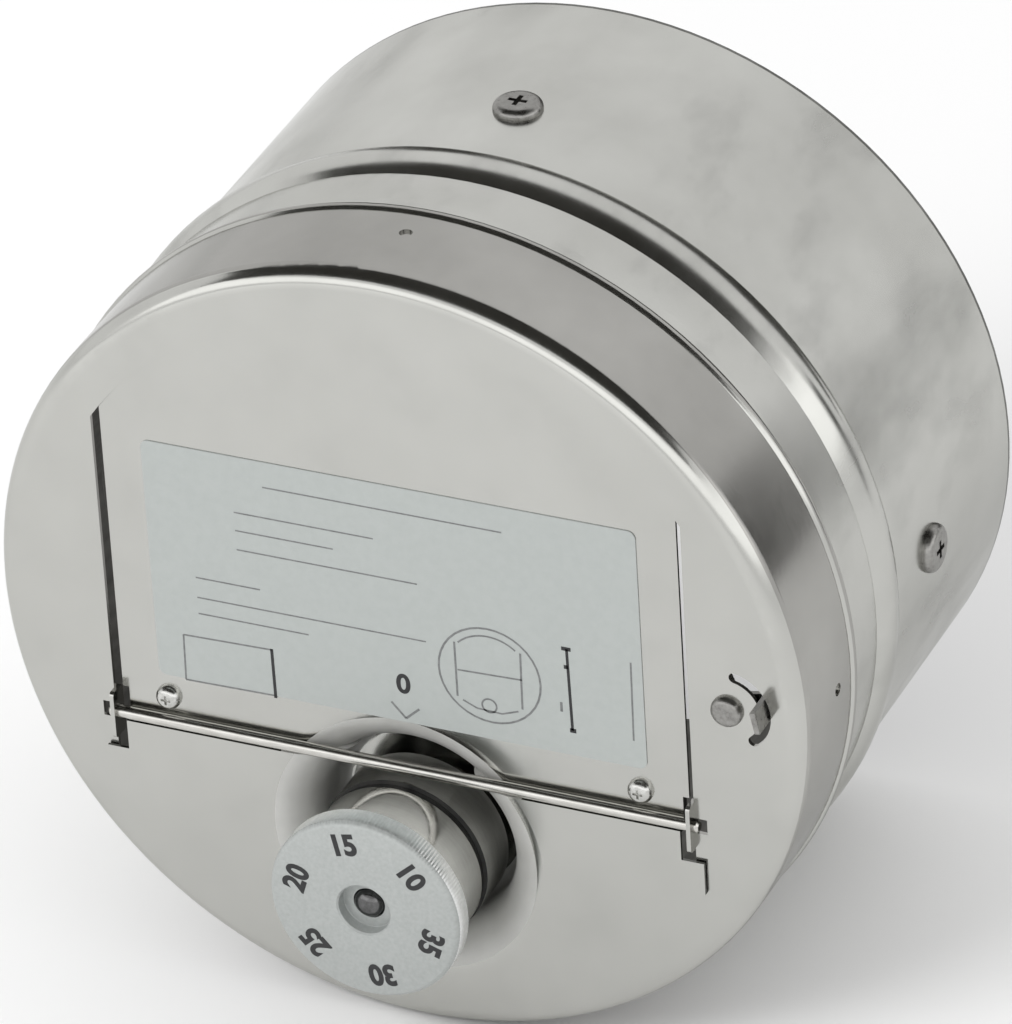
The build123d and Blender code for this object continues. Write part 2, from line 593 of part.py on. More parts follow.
def make_lock_lever():
    nose_turn = math.radians(LEVER_NOSE_ANGLE)
    nose_x = LEVER_NOSE_REACH * math.cos(nose_turn)
    nose_z = LEVER_NOSE_REACH * math.sin(nose_turn)
    arm = SlotOverall(LEVER_NOSE_REACH + 2 * LEVER_NOSE_R, 2 * LEVER_NOSE_R)
    outline = Circle(LEVER_HUB_R)
    outline += Pos(nose_x / 2, nose_z / 2) * Rot(0, 0, LEVER_NOSE_ANGLE) * arm
    reach = FINGER_RADIUS + LEVER_SHEET / 2
    tab = Rectangle(reach, FINGER_W, align=(Align.MIN, Align.CENTER))
    outline += Rot(0, 0, FINGER_ANGLE) * tab
    outline -= Circle(RIVET_R + RIVET_RUN_GAP)
    lever = along_y(outline, LEVER_FRONT_Y, LEVER_BACK_Y)
    finger_outline = Pos(reach, 0) * Rectangle(LEVER_SHEET, FINGER_W, align=(Align.MAX, Align.CENTER))
    finger = along_y(Rot(0, 0, FINGER_ANGLE) * finger_outline, FACE_Y - FINGER_OUT, LEVER_BACK_Y)
    return Pos(LOCK_X, 0, LOCK_Z) * (lever + finger)


NODES = {
    "front_cap": make_front_cap,
    "joint_sleeve": make_joint_sleeve,
    "flue_stub": make_flue_stub,
    "stub_screws": make_stub_screws,
    "flap_plate": make_flap_plate,
    "hinge_rod": make_hinge_rod,
    "flap_screws": make_flap_screws,
    "backing_plates": make_backing_plates,
    "flap_nuts": make_flap_nuts,
    "label_plate": make_label_plate,
    "weight_spindle": make_weight_spindle,
    "base_nut": make_base_nut,
    "back_washer": make_back_washer,
    "back_nut": make_back_nut,
    "backlash_spring": make_backlash_spring,
    "thrust_washer": make_thrust_washer,
    "dial_disc": make_dial_disc,
    "weight_front": make_weight_front,
    "gap_ring": make_gap_ring,
    "weight_rear": make_weight_rear,
    "lock_rivet": make_lock_rivet,
    "lock_spacer": make_lock_spacer,
    "lock_lever": make_lock_lever,
}

os.makedirs("parts", exist_ok=True)
for name, make in NODES.items():
    shape = make()
    shape.label = name
    export_step(shape, "parts/" + name + ".step")
    print(name, round(shape.volume, 2), "mm3", len(shape.solids()), "solids")
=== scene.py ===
# %% [markdown]
# A draft regulator sits in the side of a stove pipe: a round stainless cap, a flap that
# swings on a rod, and a weight on a spindle that sets how easily the flap opens.
# The solids come from the imported model, already in metres and in place, so this file only
# dresses them: it adds finishes, the print, the numbers and the threads, and sets up the picture.
# We keep the box of the solids now; the floor is set just under it.

# %% Load the solids
import bpy
import bmesh
import math
from mathutils import Matrix, Vector


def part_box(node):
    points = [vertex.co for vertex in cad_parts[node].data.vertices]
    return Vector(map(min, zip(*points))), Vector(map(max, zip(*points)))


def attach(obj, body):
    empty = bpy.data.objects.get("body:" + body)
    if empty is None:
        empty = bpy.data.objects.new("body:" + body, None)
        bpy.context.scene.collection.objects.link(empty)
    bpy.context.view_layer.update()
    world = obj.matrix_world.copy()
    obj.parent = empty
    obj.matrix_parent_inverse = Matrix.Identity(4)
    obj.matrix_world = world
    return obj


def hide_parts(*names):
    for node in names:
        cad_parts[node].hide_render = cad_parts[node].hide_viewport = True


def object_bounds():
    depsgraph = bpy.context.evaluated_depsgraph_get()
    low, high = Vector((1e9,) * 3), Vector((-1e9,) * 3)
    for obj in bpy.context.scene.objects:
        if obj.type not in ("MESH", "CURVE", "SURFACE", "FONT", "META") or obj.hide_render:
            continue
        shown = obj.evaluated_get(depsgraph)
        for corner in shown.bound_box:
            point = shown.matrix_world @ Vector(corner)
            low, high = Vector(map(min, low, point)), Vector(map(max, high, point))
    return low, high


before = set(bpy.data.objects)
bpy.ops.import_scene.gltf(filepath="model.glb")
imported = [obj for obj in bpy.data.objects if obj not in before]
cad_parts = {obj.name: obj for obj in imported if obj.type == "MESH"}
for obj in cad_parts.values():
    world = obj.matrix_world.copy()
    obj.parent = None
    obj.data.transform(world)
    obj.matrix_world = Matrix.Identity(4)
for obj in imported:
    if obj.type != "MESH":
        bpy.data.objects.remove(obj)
solid_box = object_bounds()
MM = 0.001

# %% [markdown]
# The photograph looks down on the regulator from the right, from far away: the two ends of
# the round body look almost the same size. A long lens says the same thing, so the camera
# stands about one and three quarter metres off. It could be aimed at an empty by a constraint,
# but its three axes were worked out from the ellipses of the rims, and a matrix holds them as
# they are.

# %% Camera
CAMERA_RIGHT = Vector((0.91450, 0.40120, -0.05221))
CAMERA_UP = Vector((-0.17246, 0.50329, 0.84672))
CAMERA_BACK = Vector((0.36598, -0.76533, 0.52946))
CAMERA_PLACE = Vector((0.62837, -1.36771, 0.91003))
LENS_MM = 334.6
FILM_WIDTH_MM = 36.0
lens = bpy.data.cameras.new("long_lens")
lens.lens = LENS_MM
lens.sensor_width = FILM_WIDTH_MM
lens.clip_start = 0.05
lens.clip_end = 20.0
camera = bpy.data.objects.new("camera", lens)
stand = Matrix((CAMERA_RIGHT, CAMERA_UP, CAMERA_BACK)).transposed().to_4x4()
stand.translation = CAMERA_PLACE
camera.matrix_world = stand
bpy.context.collection.objects.link(camera)
bpy.context.scene.camera = camera
bpy.context.scene.view_settings.view_transform = "Standard"
print("camera at", [round(v, 3) for v in camera.location])

# %% [markdown]
# Every finish here is a Principled shader fed by noise. A picture could be laid on the metal
# instead, but noise stays sharp at any distance and needs no file. A few short helpers keep that
# readable: add makes a node, wire joins two sockets, and skin is the shader's list of sockets.

# %% A blank finish
# Steel loses some of its shine where it is seen almost edge on
EDGE_TINT = (0.85, 0.85, 0.84, 1)


def add(owner, kind):
    return owner.node_tree.nodes.new("ShaderNode" + kind)


def wire(owner, start, end):
    owner.node_tree.links.new(start, end)


def skin(finish):
    return finish.node_tree.nodes["Principled BSDF"].inputs


def new_finish(name, metal):
    finish = bpy.data.materials.new(name)
    finish.use_nodes = True
    skin(finish)["Metallic"].default_value = metal
    if metal == 1.0:
        skin(finish)["Specular Tint"].default_value = EDGE_TINT
    return finish


print("blank finishes have an edge tint of", EDGE_TINT[:3])


# %% Grain and tone
def grain(finish, scale, detail, stretch=(1, 1, 1)):
    place = add(finish, "TexCoord")
    stretched = add(finish, "Mapping")
    stretched.inputs["Scale"].default_value = stretch
    noise = add(finish, "TexNoise")
    noise.inputs["Scale"].default_value = scale
    noise.inputs["Detail"].default_value = detail
    wire(finish, place.outputs["Object"], stretched.inputs["Vector"])
    wire(finish, stretched.outputs["Vector"], noise.inputs["Vector"])
    return noise.outputs["Fac"]


def tone(finish, value, *stops):
    # Each stop is a value and the colour that it becomes
    ramp = add(finish, "ValToRGB")
    ramp.color_ramp.elements.remove(ramp.color_ramp.elements[1])
    ramp.color_ramp.elements[0].position = stops[0][0]
    ramp.color_ramp.elements[0].color = (*stops[0][1], 1)
    for at, colour in stops[1:]:
        ramp.color_ramp.elements.new(at).color = (*colour, 1)
    wire(finish, value, ramp.inputs["Fac"])
    return ramp.outputs["Color"]


print("helpers: grain makes a noise, tone colours it")

# %% [markdown]
# Bright sheet metal has almost no colour of its own: it shows the room. So the room comes
# before the metal. Its floor and cards are flat, and could be Blender's own planes, but one
# function that makes a mesh from points and faces serves them and all the later pieces too.

# %% A helper that makes a mesh object
def mesh_object(name, points, faces):
    mesh = bpy.data.meshes.new(name)
    mesh.from_pydata([tuple(p) for p in points], [], faces)
    mesh.validate()
    mesh.update()
    made = bpy.data.objects.new(name, mesh)
    bpy.context.collection.objects.link(made)
    return made


print("helper: mesh_object")

# %% [markdown]
# The regulator stands on white paper. A curved sweep of paper would be the studio's way, but
# the world behind is white as well, so a plane just under the lowest rim is enough: matt, very
# slightly uneven in tone, and so wide that its far edge doesn't show.

# %% Paper floor
FLOOR_Z = solid_box[0].z - 0.3 * MM
FLOOR_HALF = 6
PAPER_DARK = (0.90, 0.90, 0.90)
PAPER_LIGHT = (0.93, 0.93, 0.93)
paper = new_finish("paper_floor", 0.0)
skin(paper)["Roughness"].default_value = 0.9
skin(paper)["Specular IOR Level"].default_value = 0.0
paper_tone = tone(paper, grain(paper, scale=3.0, detail=2.0), (0, PAPER_DARK), (1, PAPER_LIGHT))
wire(paper, paper_tone, skin(paper)["Base Color"])
floor_corners = [(-1, -1), (1, -1), (1, 1), (-1, 1)]
floor_points = [(FLOOR_HALF * x, FLOOR_HALF * y, FLOOR_Z) for x, y in floor_corners]
floor = mesh_object("floor", floor_points, [(0, 1, 2, 3)])
floor.data.materials.append(paper)
print("floor at", round(FLOOR_Z, 4))

# %% [markdown]
# The room round it is white. One plain background would do, but then the paper would lose its
# shadow. So the camera and shiny surfaces see full white, everything else is lit a little less,
# and the light path tells the two kinds of ray apart.

# %% White room
SEEN_STRENGTH = 1.0
FILL_STRENGTH = 0.86
room = bpy.data.worlds.new("white_room")
room.use_nodes = True
room.node_tree.nodes.clear()
bpy.context.scene.world = room


def room_white(strength):
    white = add(room, "Background")
    white.inputs["Color"].default_value = (1, 1, 1, 1)
    white.inputs["Strength"].default_value = strength
    return white.outputs[0]


def either(first, second):
    larger = add(room, "Math")
    larger.operation = "MAXIMUM"
    wire(room, first, larger.inputs[0])
    wire(room, second, larger.inputs[1])
    return larger.outputs[0]


ray = add(room, "LightPath").outputs
seen = either(either(ray["Is Camera Ray"], ray["Is Glossy Ray"]), ray["Is Transmission Ray"])
blend_rooms = add(room, "MixShader")
room_out = add(room, "OutputWorld")
wire(room, seen, blend_rooms.inputs["Fac"])
wire(room, room_white(FILL_STRENGTH), blend_rooms.inputs[1])
wire(room, room_white(SEEN_STRENGTH), blend_rooms.inputs[2])
wire(room, blend_rooms.outputs[0], room_out.inputs["Surface"])
print("room lit, fill", FILL_STRENGTH)

# %% [markdown]
# Two large soft panels give the shadow its direction: a strong one in front on the left, and
# a weak one behind. A sun lamp would draw hard edges that the photograph doesn't have. The
# panels are hidden from shiny surfaces, because their square shapes would show in the sheet.

# %% Soft panels
FRONT_WATTS = 18.0
REAR_WATTS = 3.0


def hide_from(made, *kinds):
    for kind in kinds:
        setattr(made, "visible_" + kind, False)


def soft_panel(name, place, aim, width, height, watts):
    lamp = bpy.data.lights.new(name, "AREA")
    lamp.shape = "RECTANGLE"
    lamp.size = width
    lamp.size_y = height
    lamp.energy = watts
    made = bpy.data.objects.new(name, lamp)
    made.location = place
    made.rotation_mode = "QUATERNION"
    made.rotation_quaternion = (Vector(aim) - Vector(place)).to_track_quat("-Z", "Y")
    bpy.context.collection.objects.link(made)
    hide_from(made, "glossy")


soft_panel("front_panel", (-0.7, -1.5, 1.3), aim=(0, -0.1, 0), width=1.0, height=0.7, watts=FRONT_WATTS)
soft_panel("rear_panel", (0.3, 1.4, 1.6), aim=(0, 0, 0), width=1.8, height=1.0, watts=REAR_WATTS)
print("two soft panels,", FRONT_WATTS, "and", REAR_WATTS, "watts")

# %% [markdown]
# In a room that is white all round, bright metal looks like paper. Photographers hang dark
# cloth just outside the picture, so that every bend draws a dark line next to a bright one.
# Ours is a canopy overhead, a low card behind and a small flag on the right. A darker world
# would do it too, but would spoil the white background. Only shiny surfaces see the cloth, so
# it takes no light from the paper.

# %% Dark cloth
CLOTH_DARK = (0.030, 0.029, 0.026)
CLOTH_LIGHT = (0.060, 0.058, 0.053)
cloth = new_finish("dark_cloth", 0.0)
skin(cloth)["Roughness"].default_value = 1.0
skin(cloth)["Specular IOR Level"].default_value = 0.0
cloth_weave = add(cloth, "TexNoise")
cloth_weave.inputs["Scale"].default_value = 40.0
cloth_tone = tone(cloth, cloth_weave.outputs["Fac"], (0, CLOTH_DARK), (1, CLOTH_LIGHT))
wire(cloth, cloth_tone, skin(cloth)["Base Color"])


def hang_cloth(name, points, faces):
    made = mesh_object(name, points, faces)
    made.data.materials.append(cloth)
    hide_from(made, "camera", "diffuse", "shadow")


def cloth_card(name, corner, across, up):
    a = Vector(corner)
    b = a + Vector(across)
    hang_cloth(name, [a, b, b + Vector(up), a + Vector(up)], [(0, 1, 2, 3)])


def degrees_along(from_deg, to_deg, i, steps):
    return math.radians(from_deg + (to_deg - from_deg) * i / steps)


print("cloth woven")

# %% Hang the cloth
CANOPY_R = 2.2
CANOPY_HALF_W = 3.0
CANOPY_DEG = (42, 114)
CANOPY_STEPS = 40
canopy_points = []
canopy_faces = []
for i in range(CANOPY_STEPS + 1):
    turn = degrees_along(*CANOPY_DEG, i, CANOPY_STEPS)
    for x in (-CANOPY_HALF_W, CANOPY_HALF_W):
        canopy_points.append((x, -CANOPY_R * math.cos(turn), CANOPY_R * math.sin(turn)))
    if i:
        canopy_faces.append((2 * i - 2, 2 * i - 1, 2 * i + 1, 2 * i))
hang_cloth("overhead_cloth", canopy_points, canopy_faces)
cloth_card("low_cloth", corner=(-0.50, 0.75, FLOOR_Z), across=(0.92, 0, 0), up=(0, 0, 0.38))
cloth_card("side_flag", corner=(0.40, 0.20, -0.05), across=(0, 0.135, 0), up=(0, 0, 0.20))
print("canopy hung from", *CANOPY_DEG, "degrees, and two cards")

# %% [markdown]
# The rolled edges of the sheet should carry a thin bright line beside each dark one. A long,
# low strip of light round the front and the right does that. An area lamp can't be bent round,
# so the strip is a mesh that glows. Only shiny surfaces see it, so it doesn't wash out the paper
# or the label.

# %% Light strip
STRIP_STRENGTH = 1.7
STRIP_R = 2.0
STRIP_BOTTOM = 0.2
STRIP_TOP = 1.0
STRIP_DEG = (-60, 120)
STRIP_STEPS = 36
glow = bpy.data.materials.new("light_strip")
glow.use_nodes = True
glow.node_tree.nodes.clear()
glow_shader = add(glow, "Emission")
glow_shader.inputs["Strength"].default_value = STRIP_STRENGTH
glow_out = add(glow, "OutputMaterial")
wire(glow, glow_shader.outputs["Emission"], glow_out.inputs["Surface"])
strip_points = []
strip_faces = []
for i in range(STRIP_STEPS + 1):
    turn = degrees_along(*STRIP_DEG, i, STRIP_STEPS)
    for z in (STRIP_BOTTOM, STRIP_TOP):
        strip_points.append((STRIP_R * math.sin(turn), -STRIP_R * math.cos(turn), z))
    if i:
        strip_faces.append((2 * i - 2, 2 * i, 2 * i + 1, 2 * i - 1))
light_strip = mesh_object("light_strip", strip_points, strip_faces)
light_strip.data.materials.append(glow)
hide_from(light_strip, "camera", "diffuse", "shadow")
print("light strip from", *STRIP_DEG, "degrees")

# %% [markdown]
# One sheet of steel doesn't look the same all over: its face is polished by the rolls, its
# inside is dull, its cut edges are dark. Faces could be painted one by one, but the solids may
# be meshed anew. So each look has a mask, worked out from where a point lies and which way the
# surface faces there, and the mask drives a mix.

# %% Gloss and relief
# Noise mostly lies between these two values
NOISE_LOW = 0.3
NOISE_HIGH = 0.7


def clouded(finish, value, dark, light):
    return tone(finish, value, (NOISE_LOW, dark), (NOISE_HIGH, light))


def spread(finish, value, low, high, start=NOISE_LOW, end=NOISE_HIGH):
    ranged = add(finish, "MapRange")
    ranged.inputs["From Min"].default_value = start
    ranged.inputs["From Max"].default_value = end
    ranged.inputs["To Min"].default_value = low
    ranged.inputs["To Max"].default_value = high
    wire(finish, value, ranged.inputs["Value"])
    return ranged.outputs["Result"]


def relief(finish, value, depth):
    bump = add(finish, "Bump")
    bump.inputs["Strength"].default_value = 1.0
    bump.inputs["Distance"].default_value = depth
    wire(finish, value, bump.inputs["Height"])
    wire(finish, bump.outputs["Normal"], skin(finish)["Normal"])


print("noise is used from", NOISE_LOW, "to", NOISE_HIGH)


# %% Masks
def step(finish, operation, value, limit):
    made = add(finish, "Math")
    made.operation = operation
    wire(finish, value, made.inputs[0])
    made.inputs[1].default_value = limit
    return made.outputs[0]


def surface_facing(finish, round_tube):
    # How far a surface looks outwards from the tube's axis, or towards the front
    place = add(finish, "TexCoord")
    outward = add(finish, "VectorMath")
    outward.operation = "MULTIPLY_ADD"
    outward.inputs[1].default_value = (1, 0, 1) if round_tube else (0, 0, 0)
    outward.inputs[2].default_value = (0, 0, 0) if round_tube else (0, -1, 0)
    wire(finish, place.outputs["Object"], outward.inputs[0])
    facing = add(finish, "VectorMath")
    facing.operation = "DOT_PRODUCT"
    wire(finish, outward.outputs["Vector"], facing.inputs[0])
    wire(finish, place.outputs["Normal"], facing.inputs[1])
    return facing.outputs["Value"]


print("helpers: step, surface_facing")


# %% Mixes
def mixed(finish, kind, mask, plain, other, blend="MIX"):
    mix = add(finish, "Mix")
    mix.data_type = kind
    if kind == "RGBA":
        mix.blend_type = blend
    first = [socket for socket in mix.inputs if socket.name == "A" and socket.enabled][0]
    second = [socket for socket in mix.inputs if socket.name == "B" and socket.enabled][0]
    if mask is None:
        mix.inputs[0].default_value = 1.0
    else:
        wire(finish, mask, mix.inputs[0])
    wire(finish, plain, first)
    wire(finish, other, second)
    return [socket for socket in mix.outputs if socket.enabled][0]


print("helper: mixed")

# %% [markdown]
# Cold-rolled stainless sheet is a warm light grey, fairly glossy, with a soft cloudiness from
# handling and a very fine grain along the rolling direction. One even grey would look like
# plastic, so a wide noise clouds the tone, a middle one wears it and varies the gloss, as
# fingers do on the real sheet, and a stretched one draws the grain. The side that looks into
# the flue is dull and painted dark as shade, and the cap's wall is painted darker than its
# face, as painted shade.

# %% Rolled sheet
INSIDE_SHADE_TONES = ((0.10, 0.098, 0.091), (0.16, 0.157, 0.147))
DULL_GLOSS = (0.5, 0.65)
WALL_FACING = 0.35
UNWORN = (1, 1, 1)
BARELY_WORN = (0.97, 0.97, 0.97)
GRAIN_DEPTH = 0.004 * MM


def rolled_sheet(name, tones, gloss, stretch, wear, dull_and_shaded_under, round_tube=False, wall=None):
    finish = new_finish(name, 1.0)
    cloud = grain(finish, scale=26.0, detail=4.0)
    smudge = grain(finish, scale=75.0, detail=5.0, stretch=(1, 0.5, 1))
    fine = grain(finish, scale=90.0, detail=4.0, stretch=stretch)
    facing = surface_facing(finish, round_tube)
    inside = step(finish, "LESS_THAN", facing, dull_and_shaded_under)
    outer_tone = clouded(finish, cloud, *tones)
    # painted shade: the cap's upright wall gets darker tones than its face
    if wall:
        upright = step(finish, "LESS_THAN", facing, WALL_FACING)
        outer_tone = mixed(finish, "RGBA", upright, outer_tone, clouded(finish, cloud, *wall))
    worn = tone(finish, smudge, (0.25, (wear, wear, wear)), (0.45, BARELY_WORN), (0.75, UNWORN))
    outer_tone = mixed(finish, "RGBA", None, outer_tone, worn, "MULTIPLY")
    # painted shade: where the sheet looks into the flue or backwards it gets dark tones
    inside_shade_tone = clouded(finish, cloud, *INSIDE_SHADE_TONES)
    outer_gloss = spread(finish, smudge, gloss[1], gloss[0])
    dull_gloss = spread(finish, fine, *DULL_GLOSS)
    wire(finish, mixed(finish, "RGBA", inside, outer_tone, inside_shade_tone), skin(finish)["Base Color"])
    wire(finish, mixed(finish, "FLOAT", inside, outer_gloss, dull_gloss), skin(finish)["Roughness"])
    relief(finish, fine, GRAIN_DEPTH)
    return finish


print("rolled sheet has grain", GRAIN_DEPTH, "deep")

# %% Three sheets
FACE_TONES = ((0.50, 0.50, 0.475), (0.53, 0.53, 0.505))
WALL_SHADE_TONES = ((0.31, 0.305, 0.29), (0.42, 0.415, 0.395))
STUB_TONES = ((0.47, 0.47, 0.445), (0.57, 0.57, 0.545))
FACE_GLOSS = (0.14, 0.22)
STUB_GLOSS = (0.15, 0.28)
GRAIN_UPRIGHT = (9, 9, 1)
GRAIN_ALONG_TUBE = (9, 1, 9)
FACE_WEAR = 0.93
STUB_WEAR = 0.82
# A face is dull and painted dark, as shade, where it looks backwards, the tube where it
# looks inwards
FACE_DULL_AND_SHADED_UNDER = -0.6
STUB_DULL_AND_SHADED_UNDER = -0.02
face_look = (FACE_TONES, FACE_GLOSS, GRAIN_UPRIGHT, FACE_WEAR, FACE_DULL_AND_SHADED_UNDER)
stub_look = (STUB_TONES, STUB_GLOSS, GRAIN_ALONG_TUBE, STUB_WEAR, STUB_DULL_AND_SHADED_UNDER)
cap_sheet = rolled_sheet("cap_sheet", *face_look, wall=WALL_SHADE_TONES)
flap_sheet = rolled_sheet("flap_sheet", *face_look)
stub_sheet = rolled_sheet("stub_sheet", *stub_look, round_tube=True)
print("sheets:", cap_sheet.name, flap_sheet.name, stub_sheet.name)

# %% [markdown]
# The pot in the flap was drawn by a press, which leaves the steel matt; it is also painted a
# little lighter and less metallic than the sheet, as painted light in its hollow. The cut edges
# at the flap's sides are painted dark, as painted shade in the slits beside it. A second material
# on those faces would show a hard seam, so both are laid over the flap's own finish. The pot is
# found by its distance from the weight's axis, the cut edges by how far out they lie.

# %% Where the pot is
POT_OVER_WEIGHT = 2.0 * MM
POT_REACH = 28.0 * MM
FLAT_FACING = 0.985
dial_low, dial_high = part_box("dial_disc")
DIAL_Z = (dial_low.z + dial_high.z) / 2
POT_Z = DIAL_Z + POT_OVER_WEIGHT


def both(finish, first, second):
    made = add(finish, "Math")
    made.operation = "MULTIPLY"
    wire(finish, first, made.inputs[0])
    wire(finish, second, made.inputs[1])
    return made.outputs[0]


def pot_mask(finish, facing):
    place = add(finish, "TexCoord")
    across = add(finish, "VectorMath")
    across.operation = "MULTIPLY_ADD"
    across.inputs[1].default_value = (1, 0, 1)
    across.inputs[2].default_value = (0, 0, -POT_Z)
    from_axis = add(finish, "VectorMath")
    from_axis.operation = "LENGTH"
    wire(finish, place.outputs["Object"], across.inputs[0])
    wire(finish, across.outputs["Vector"], from_axis.inputs[0])
    in_pot = step(finish, "LESS_THAN", from_axis.outputs["Value"], POT_REACH)
    return both(finish, in_pot, step(finish, "LESS_THAN", facing, FLAT_FACING))


print("pot at height", round(POT_Z, 4), "reach", POT_REACH)

# %% Where the cut edges are
EDGE_REACH = 50.0 * MM
EDGE_FACING = 0.3


def place_part(finish, letter):
    place = add(finish, "TexCoord")
    parts = add(finish, "SeparateXYZ")
    wire(finish, place.outputs["Object"], parts.inputs[0])
    return parts.outputs[letter]


def edge_mask(finish, facing):
    reach = add(finish, "Math")
    reach.operation = "ABSOLUTE"
    wire(finish, place_part(finish, "X"), reach.inputs[0])
    far_out = step(finish, "GREATER_THAN", reach.outputs[0], EDGE_REACH)
    return both(finish, far_out, step(finish, "LESS_THAN", facing, EDGE_FACING))


print("edges further out than", EDGE_REACH)

# %% Press marks on the flap, with painted light in the pot and painted shade on the cut edges
POT_LIT_TONES = ((0.50, 0.50, 0.48), (0.58, 0.58, 0.56))
POT_GLOSS = (0.38, 0.5)
POT_METAL = 0.35
CUT_EDGE_SHADE_TONES = ((0.10, 0.10, 0.095), (0.16, 0.16, 0.15))


def look_so_far(finish, name):
    return skin(finish)[name].links[0].from_socket


flap_facing = surface_facing(flap_sheet, False)
pot = pot_mask(flap_sheet, flap_facing)
edge = edge_mask(flap_sheet, flap_facing)
drawn = grain(flap_sheet, scale=120.0, detail=3.0)
# painted light: the pot's hollow is lighter and less metallic than the sheet
pot_lit_tone = clouded(flap_sheet, drawn, *POT_LIT_TONES)
pot_gloss = spread(flap_sheet, drawn, *POT_GLOSS)
# painted shade: the cut side edges are dark, so the slits beside the flap read dark
edge_shade_tone = clouded(flap_sheet, drawn, *CUT_EDGE_SHADE_TONES)
flap_tone = mixed(flap_sheet, "RGBA", pot, look_so_far(flap_sheet, "Base Color"), pot_lit_tone)
flap_tone = mixed(flap_sheet, "RGBA", edge, flap_tone, edge_shade_tone)
flap_gloss = mixed(flap_sheet, "FLOAT", pot, look_so_far(flap_sheet, "Roughness"), pot_gloss)
flap_metal = spread(flap_sheet, pot, 1.0, POT_METAL, start=0.0, end=1.0)
wire(flap_sheet, flap_tone, skin(flap_sheet)["Base Color"])
wire(flap_sheet, flap_gloss, skin(flap_sheet)["Roughness"])
wire(flap_sheet, flap_metal, skin(flap_sheet)["Metallic"])
print("press marks laid over", flap_sheet.name)

# %% [markdown]
# The open end of the tube is cut and not rolled over. Its last bit is painted dark, as painted
# shade that draws a thin line round the rear. The rim could be a ring of its own, but the sheet
# is one piece there, so the last bit of its finish is darkened instead. Then the sheets go on
# their solids.

# %% Painted shade on the rim of the tube
RIM_FROM_Y = -0.7 * MM
RIM_SHADE_TONES = ((0.09, 0.09, 0.085), (0.20, 0.20, 0.19))
rim = step(stub_sheet, "GREATER_THAN", place_part(stub_sheet, "Y"), RIM_FROM_Y)
rim_shade_noise = grain(stub_sheet, scale=200.0, detail=3.0)
# painted shade: the last bit of the tube before its open end is dark
rim_shade_tone = clouded(stub_sheet, rim_shade_noise, *RIM_SHADE_TONES)
stub_tone = mixed(stub_sheet, "RGBA", rim, look_so_far(stub_sheet, "Base Color"), rim_shade_tone)
wire(stub_sheet, stub_tone, skin(stub_sheet)["Base Color"])
print("rim dark from", RIM_FROM_Y)


# %% Dress the sheet pieces
def dress(finish, *names):
    for name in names:
        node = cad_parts[name]
        node.data.materials.clear()
        node.data.materials.append(finish)
        for face in node.data.polygons:
            face.material_index = 0
    print(finish.name, "on", ", ".join(names))


dress(cap_sheet, "front_cap")
dress(flap_sheet, "flap_plate", "backing_plates")
dress(stub_sheet, "flue_stub", "joint_sleeve")

# %% [markdown]
# The small steel parts are simpler than the sheet. One shared steel would do from afar, but up
# close drawn wire is streaked along its length, a turned weight has fine rings, and plated
# screws are only speckled. One noise sets both tone and gloss, stretched the way the tool ran.
# The stub's screws and the lock are painted darker and duller than the rest; on the screws'
# domed heads the dark colour is painted reflection.

# %% Speckled finishes
STEEL_STOPS = (0.35, 0.65)
STEEL_SCALE = 260.0
STEEL_DETAIL = 3.0


def speckle(finish, speck, dark, light, gloss, stops=(NOISE_LOW, NOISE_HIGH)):
    speck_tone = tone(finish, speck, (stops[0], dark), (stops[1], light))
    wire(finish, speck_tone, skin(finish)["Base Color"])
    wire(finish, spread(finish, speck, *gloss), skin(finish)["Roughness"])


def bright_steel(name, dark, light, gloss, stretch=(4, 4, 4)):
    finish = new_finish(name, 1.0)
    lines = grain(finish, STEEL_SCALE, STEEL_DETAIL, stretch)
    speckle(finish, lines, dark, light, gloss, STEEL_STOPS)
    return finish


print("steel is speckled at a scale of", STEEL_SCALE)

# %% Bright steel parts
drawn_wire = bright_steel("drawn_wire", (0.52, 0.51, 0.48), (0.62, 0.61, 0.58), (0.16, 0.26), (1, 8, 8))
plated_screw = bright_steel("plated_screw", (0.50, 0.50, 0.48), (0.62, 0.62, 0.60), (0.18, 0.30))
turned_weight = bright_steel("turned_weight", (0.62, 0.62, 0.60), (0.68, 0.68, 0.66), (0.09, 0.16), (1, 6, 1))
# painted reflection: the stub's screws and the lock get a dark steel colour
painted_dark_pin = bright_steel("painted_dark_pin", (0.24, 0.235, 0.225), (0.34, 0.335, 0.32), (0.25, 0.40))
dress(drawn_wire, "hinge_rod")
dress(plated_screw, "flap_screws", "base_nut", "back_washer", "thrust_washer", "lock_spacer")
dress(painted_dark_pin, "stub_screws", "lock_rivet", "lock_lever")
dress(turned_weight, "weight_front", "weight_rear")

# %% [markdown]
# Between the two halves of the weight is a narrow dark gap with a black ring in it. A real gap
# is dark because light is lost in it. This one is so shallow that the bright front of the rear
# half would shine out of it, so those few faces are blackened along with the ring.

